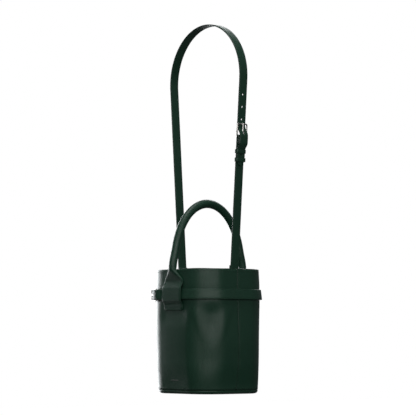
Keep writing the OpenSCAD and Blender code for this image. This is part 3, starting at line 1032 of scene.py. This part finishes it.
def snapHook(side, name):
    low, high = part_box("hook_body_" + name.lower())
    reach = mouth["hookReach"]
    arcZ = low.z + reach + 1.7 * mm
    top = high.z
    inX = vec(-side, 0, 0)
    middle = sideX * (side * ringBar.x)
    path = [middle + inX * reach + up * (arcZ + rise * mm) for rise in (2, 0.8)]
    path += arcRun(middle + up * arcZ, inX, -up, reach, 0, 180, 20)
    path += [middle - inX * reach + up * z for z in (arcZ + 3 * mm, arcZ + 8 * mm, top - 5.5 * mm)]
    stations = flatRun(path, sideY)
    for k, place in enumerate(stations):
        swell = 0.8 + 0.3 * sin(pi * min(k / (len(path) - 1) * 1.2, 1))
        place[3], place[4] = swell, swell * 0.92
    hook = carrySection("hook" + name, stations, roundSection(mouth["hookWire"]), [platedMetal])
    collar = lathe("collar", collarProfile, middle + up * (top - mouth["collarHeight"]), up, sideY)
    arms = []
    for end in (-1, 1):
        arm = []
        for reachOut, drop in ((3.4, 2.8), (5.2, 3.2), (6.8, 3.9), (7.4, 5.2)):
            arm.append(middle + inX * (end * reachOut * mm) + up * (top - drop * mm))
        arms.append(wireRun("arm", arm, mouth["armWire"], 10))
    return joinPieces("hook" + name, [hook, collar] + arms)


def hookGate(side, name):
    low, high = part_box("hook_gate_" + name.lower())
    x = side * (ringBar.x - mouth["hookReach"])
    path = [vec(x, 0, mix(low.z, high.z, f)) for f in (0.02, 0.2, 0.45, 0.7, 0.95)]
    stem = wireRun("gate" + name, path, mouth["gateWire"], 12)
    thumbAt = vec(x, 0, low.z + mouth["thumbHeight"])
    knob = lathe("knob", knobProfile, thumbAt, vec(-side, 0, 0), sideY, 16)
    return joinPieces("gate" + name, [stem, knob])


def strapLoop(side, name):
    low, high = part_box("hook_loop_" + name.lower())
    x = side * ringBar.x
    half = strapWidth / 2 + 2.6 * mm
    bar = high.z - 1.9 * mm
    path = roundedFrame(sideX * x, sideY, up, half, low.z + 9.4 * mm, bar, mouth["loopCorner"])
    loop = wireRun("loop" + name, path, mouth["loopWire"], loop=True)
    post = lathe("post", postProfile, vec(x, 0, low.z + 1.5 * mm), up, sideY)
    return joinPieces("loop" + name, [loop, post])


def ringTab(side, name):
    thick = mouth["tabThick"]
    inner = halfX - drawnIn(ringBar.z - 30 * mm) - 3.4 * mm - thick
    z = ringBar.z
    path = [(inner, z - 44 * mm), (inner - 0.1 * mm, z - 28 * mm), (inner - 0.9 * mm, z - 24 * mm)]
    path += foldRound(ringBar.x, z, mouth["tabTurn"], -20, 200, 11)
    path += [(ringBar.x - 0.6 * mm, z - 9 * mm), (ringBar.x + 2.4 * mm, z - 20 * mm)]
    points = [vec(side * px, 0, pz) for px, pz in path]
    return layStrap("ringTab" + name, points, mouth["tabWidth"], thick, sideY, step=1.2 * mm)[0]


def strapStud(side, name):
    studs = []
    for height, out in ((1.3 * mm, strandOut), (-layer - 1.3 * mm, -strandOut)):
        studs.append(lathe("stud", studProfile, onRight(shoulder["studRun"], height), out, sideY))
    stud = joinPieces("stud" + name, studs)
    if side < 0:
        stud.data.transform(Matrix.Scale(-1, 4, sideX))
        stud.data.flip_normals()
    return stud


for side, name in ((-1, "Left"), (1, "Right")):
    node = name.lower()
    fit(ringLoop(side, name), "ring_" + node, "hardware", "ring_" + node)
    fit(snapHook(side, name), "hook_" + node, "hardware", "hook_body_" + node)
    fit(hookGate(side, name), "gate_" + node, "hardware", "hook_gate_" + node)
    fit(strapLoop(side, name), "strap", "hardware", "hook_loop_" + node)
    fit(ringTab(side, name), "bag", "trim_leather", "ring_tab_" + node)
for side, name in ((-1, "Left"), (1, "Right")):
    fit(strapStud(side, name), "strap", "hardware", "strap_stud_" + name.lower())


def snapDisc(node, name, post):
    low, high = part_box(node)
    facingIn = 1 if low.y < 0 else -1
    wallY = low.y if facingIn > 0 else high.y
    origin = vec(0, wallY, (low.z + high.z) / 2)
    profile = [(9, 0), (9, 0.7), (8.6, 1.1), (7.4, 1.3), (7.1, 2.6), (6.6, 3.0)]
    stem = [(2.4, 3.0), (2.3, 4.6), (1.9, 5.0), (0, 5.0)]
    well = [(2.7, 3.0), (2.6, 1.6), (0, 1.6)]
    profile += stem if post else well
    fit(lathe(name, profile, origin, sideY * facingIn, sideX), "bag", "hardware", node)


snapDisc("snap_socket", "snapSocket", False)
snapDisc("snap_stud", "snapStud", True)


pocket = {"fromSeam": cornerY + 62 * mm, "thick": 1.2 * mm, "gape": 1.1 * mm}


def slipPocket():
    low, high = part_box("slip_pocket")
    inward = 3.4 * mm + drawnIn(low.z) + 0.4 * mm
    count = 60
    rows = []
    for k, run in enumerate(steps(pocket["fromSeam"], halfRound - pocket["fromSeam"], count)):
        p, n = outline(run, True)
        inside = []
        outside = []
        for j in range(13):
            f = j / 12
            q = p - n * (inward + pocket["gape"] * sin(pi * k / count) * f * f)
            q.z = mix(low.z, high.z - 0.4 * mm, f)
            outside.append(q)
            inside.append(q - n * pocket["thick"])
        lip = inside[-1] + n * 0.6 * mm + up * 0.4 * mm
        rows.append(inside + [lip] + outside[::-1])
    return stretchSkin("slipPocket", rows, [suede], wrap=True, cap=True)


fit(slipPocket(), "bag", "lining_suede", "slip_pocket")
kept = {"base_board": plain["pulpBoard"], "gate_pin_left": platedMetal, "gate_pin_right": platedMetal}
for node, material in kept.items():
    slots = frame["nodes"][node].data.materials
    slots.clear()
    slots.append(material)
print("hardware ready")


# stitching, laid as small beads along polylines
stitches = {"Spacing": 3.3 * mm, "Stitch Length": 2.5 * mm, "Thread Width": 0.62 * mm}
fine = {"Spacing": 3.1 * mm, "Stitch Length": 2.3 * mm, "Thread Width": 0.5 * mm}


def stitchTree():
    tree = bpy.data.node_groups.new("stitchRun", "GeometryNodeTree")
    face = tree.interface
    face.new_socket("Geometry", in_out="INPUT", socket_type="NodeSocketGeometry")
    for name, value in stitches.items():
        face.new_socket(name, in_out="INPUT", socket_type="NodeSocketFloat").default_value = value
    face.new_socket("Thread", in_out="INPUT", socket_type="NodeSocketMaterial")
    face.new_socket("Geometry", in_out="OUTPUT", socket_type="NodeSocketGeometry")
    new = tree.nodes.new
    entry = new("NodeGroupInput")
    leave = new("NodeGroupOutput")
    curve = new("GeometryNodeMeshToCurve")
    points = new("GeometryNodeCurveToPoints")
    points.mode = "LENGTH"
    bead = new("GeometryNodeMeshUVSphere")
    setInputs(bead, {"Segments": 8, "Rings": 6, "Radius": 0.5})
    sizes = new("ShaderNodeCombineXYZ")
    jitter = new("FunctionNodeRandomValue")
    setInputs(jitter, {"Seed": 7, 2: 0.9, 3: 1.08})
    place = new("GeometryNodeInstanceOnPoints")
    scaled = new("ShaderNodeVectorMath")
    scaled.operation = "SCALE"
    real = new("GeometryNodeRealizeInstances")
    smooth = new("GeometryNodeSetShadeSmooth")
    paint = new("GeometryNodeSetMaterial")
    wires = (
        (entry, "Geometry", curve, "Mesh"),
        (curve, "Curve", points, "Curve"),
        (entry, "Spacing", points, "Length"),
        (entry, "Thread Width", sizes, "X"),
        (entry, "Thread Width", sizes, "Y"),
        (entry, "Stitch Length", sizes, "Z"),
        (sizes, "Vector", scaled, 0),
        (jitter, 1, scaled, "Scale"),
        (points, "Points", place, "Points"),
        (bead, "Mesh", place, "Instance"),
        (points, "Rotation", place, "Rotation"),
        (scaled, "Vector", place, "Scale"),
        (place, "Instances", real, "Geometry"),
        (real, "Geometry", smooth, "Geometry"),
        (smooth, "Geometry", paint, "Geometry"),
        (entry, "Thread", paint, "Material"),
        (paint, "Geometry", leave, "Geometry"),
    )
    for source, given, sink, taken in wires:
        tree.links.new(source.outputs[given], sink.inputs[taken])
    return tree


threadTree = stitchTree()


def sewRows(name, runs, bodyName, slotName, sizes=stitches):
    points = []
    edges = []
    for run in runs:
        first = len(points)
        points += [tuple(p) for p in run]
        edges += [(first + k, first + k + 1) for k in range(len(run) - 1)]
    mesh = bpy.data.meshes.new(name)
    mesh.from_pydata(points, edges, [])
    rows = intoScene(name, mesh)
    sew = rows.modifiers.new("sew", "NODES")
    sew.node_group = threadTree
    values = {**sizes, "Thread": thread}
    for socket in threadTree.interface.items_tree:
        if socket.in_out == "INPUT" and socket.name in values:
            sew[socket.identifier] = values[socket.name]
    bake(rows)
    if not rows.data.materials:
        rows.data.materials.append(thread)
    fit(rows, bodyName, slotName)


proud = -0.12 * mm
rimRow = fullRound(rimZ - 4.2 * mm, proud, 300)
baseRow = fullRound(baseZ + body["baseRound"] + 3.2 * mm, proud, 300)
bodyRows = [rimRow + rimRow[:1], baseRow + baseRow[:1]]
seamZ = steps(baseZ + 12 * mm, rimZ - 6 * mm, 90)
for back in (False, True):
    for run in (body["stitchInset"], halfRound - body["stitchInset"]):
        bodyRows.append([wallPoint(run, z, back, proud) for z in seamZ])
insideFace = body["leather"] + body["lining"] + 0.45 * mm
facingRow = fullRound(facingFoot + 2.5 * mm, insideFace, 240)
bodyRows.append(facingRow + facingRow[:1])
sewRows("bodyStitches", bodyRows, "bag", "panel_leather")


def tabRows(sign, layers):
    inset = 3 * mm
    low = handle["tabLength"] - inset
    half = handle["tabHalf"] - inset

    def spot(x, depth):
        y, thick = tabProfile(depth, layers)
        return vec(x, sign * (y + thick * 0.99 + 0.1 * mm), rimZ - depth)

    under = [61 * mm, 64 * mm, 67 * mm, low - 0.5 * mm]
    frameRun = [spot(-half, d) for d in under]
    frameRun += [spot(x, low) for x in (-half + 1 * mm, -half / 2, 0, half / 2, half - 1 * mm)]
    frameRun += [spot(half, d) for d in reversed(under)]
    runs = [frameRun, [spot(x, 61 * mm) for x in (-half, -half / 2, 0, half / 2, half)]]
    for x in (-1, 1):
        depths = [d * mm for d in (7, 9, 11, 13, 15, 18, 21, 24, 27)]
        runs.append([spot(x * (tabOutline(d) - inset), d) for d in depths])
    return runs


sewRows("tabStitches", tabRows(-1, 2) + tabRows(1, 1), "bag", "panel_leather")


# two rows on each face of a strip, sunk a little into the leather
def stripRows(stations, width, thick):
    inset = 2.1 * mm
    lift = thick / 2 - 0.13 * mm
    runs = []
    for face in (1, -1):
        for edge in (-1, 1):
            side = edge * (width / 2 - inset)
            runs.append([s[0] + s[1] * (side * min(s[3], 1)) + s[2] * (face * lift) for s in stations])
    return runs


strapRows = stripRows(longStations[8:-9], strapWidth, shoulder["thick"])
strapRows += stripRows(shortStations[10:-6], strapWidth, shoulder["thick"])
sewRows("strapStitches", strapRows, "strap", "strap_leather", fine)
beltRows = stripRows(beltStations[14:-9], beltWidth, belt["thick"])
sewRows("beltStitches", beltRows, "bag", "trim_leather", fine)

seamDepth = shaft + handle["seamRidge"] + 0.02 * mm
handleSeam = []
for k in range(4, 93):
    a = pi * k / 96
    handleSeam.append(archPoint(a) - archOut(a) * seamDepth)
sewRows("handleStitches", [handleSeam], "handle", "handle_leather", fine)


def foilBar():
    low = baseZ + 24 * mm
    rows = []
    for k in range(13):
        x = mix(-11 * mm, 11 * mm, k / 12)
        run = cornerY + quarter + cornerX + x
        end = sqrt(max(0.05, 1 - (abs(k - 6) / 6) ** 6))
        row = []
        for z, lift in ((-0.7, 0.0), (-0.6, 0.09), (0.6, 0.09), (0.7, 0.0)):
            row.append(wallPoint(run, low + z * mm * end, False, -lift * mm))
        rows.append(row)
    return stretchSkin("foilBar", rows, [plain["foil"]])


fit(foilBar(), "bag", "hardware")
print("stitching ready")


# studio
studio = {
    "azimuth": 51,
    "cameraZ": -0.565,
    "distance": 3.5,
    "lens": 169,
    "floorZ": -3.2,
    "floorHalf": 60,
    "roomLight": 0.12,
}
# azimuth from the camera, elevation, distance, width, height, power, colour
lights = {
    "leftEdge": (-152, 4, 2.6, 2.2, 2.0, 76, (0.95, 0.98, 1.0)),
    "front": (3, 18, 2.7, 4.2, 1.3, 33, (1, 0.995, 0.985)),
    "overhead": (-20, 78, 2.4, 1.6, 1.6, 28, (1, 1, 1)),
    "behind": (160, 34, 2.6, 1.2, 1.2, 18, (0.97, 0.985, 1.0)),
}


def aimAt(thing, target):
    thing.rotation_mode = "QUATERNION"
    thing.rotation_quaternion = (target - thing.location).to_track_quat("-Z", "Y")


def softLight(name, turn, elevation, distance, width, height, power, colour):
    data = bpy.data.lights.new(name, "AREA")
    data.shape = "RECTANGLE"
    data.size = width
    data.size_y = height
    data.energy = power
    data.color = colour
    lamp = intoScene(name, data)
    a, e = radians(studio["azimuth"] + turn), radians(elevation)
    target = up * (baseZ + 0.11)
    lamp.location = target + vec(sin(a) * cos(e), -cos(a) * cos(e), sin(e)) * distance
    aimAt(lamp, target)


def placeCamera():
    a = radians(studio["azimuth"])
    data = bpy.data.cameras.new("camera")
    data.lens = studio["lens"]
    data.sensor_width = 36
    cam = intoScene("camera", data)
    cam.location = vec(sin(a), -cos(a), 0) * studio["distance"]
    cam.location.z = studio["cameraZ"]
    aimAt(cam, up * (cadLow.z + cadHigh.z) / 2)
    bpy.context.scene.camera = cam


# pale floor, seen by the camera as almost white
def layFloor():
    pale, tree, shader = newMaterial("paleFloor")[:3]
    seen = tree.nodes.new("ShaderNodeLightPath").outputs["Is Camera Ray"]
    shade = tint(tree, seen, (0.22, 0.22, 0.22), (0.3, 0.3, 0.3))
    glow = addNode(tree, "ShaderNodeMath", {1: 0.97}, {0: seen})
    glow.operation = "MULTIPLY"
    wireUp(tree, shader, {"Base Color": shade, "Emission Strength": glow.outputs[0]})
    setInputs(shader, {"Emission Color": (1, 1, 1, 1), "Roughness": 0.9})
    mesh = bpy.data.meshes.new("floor")
    s = studio["floorHalf"]
    corners = [(x, y, studio["floorZ"]) for x, y in ((-s, -s), (s, -s), (s, s), (-s, s))]
    mesh.from_pydata(corners, [], [(0, 1, 2, 3)])
    mesh.materials.append(pale)
    intoScene("floor", mesh)


# dim cool room for the leather, plain white behind it
def lightRoom():
    world = bpy.data.worlds.new("world")
    bpy.context.scene.world = world
    world.use_nodes = True
    tree = world.node_tree
    tree.nodes.clear()
    path = tree.nodes.new("ShaderNodeLightPath")
    roomValues = {"Color": (0.9, 0.94, 1, 1), "Strength": studio["roomLight"]}
    room = addNode(tree, "ShaderNodeBackground", roomValues, {})
    seen = addNode(tree, "ShaderNodeBackground", {"Color": (1, 1, 1, 1), "Strength": 1.0}, {})
    wires = {0: path.outputs["Is Camera Ray"], 1: room.outputs[0], 2: seen.outputs[0]}
    pick = addNode(tree, "ShaderNodeMixShader", {}, wires)
    addNode(tree, "ShaderNodeOutputWorld", {}, {"Surface": pick.outputs[0]})
    bpy.context.scene.view_settings.view_transform = "Standard"


placeCamera()
for name, look in lights.items():
    softLight(name, *look)
layFloor()
lightRoom()
print("studio ready")
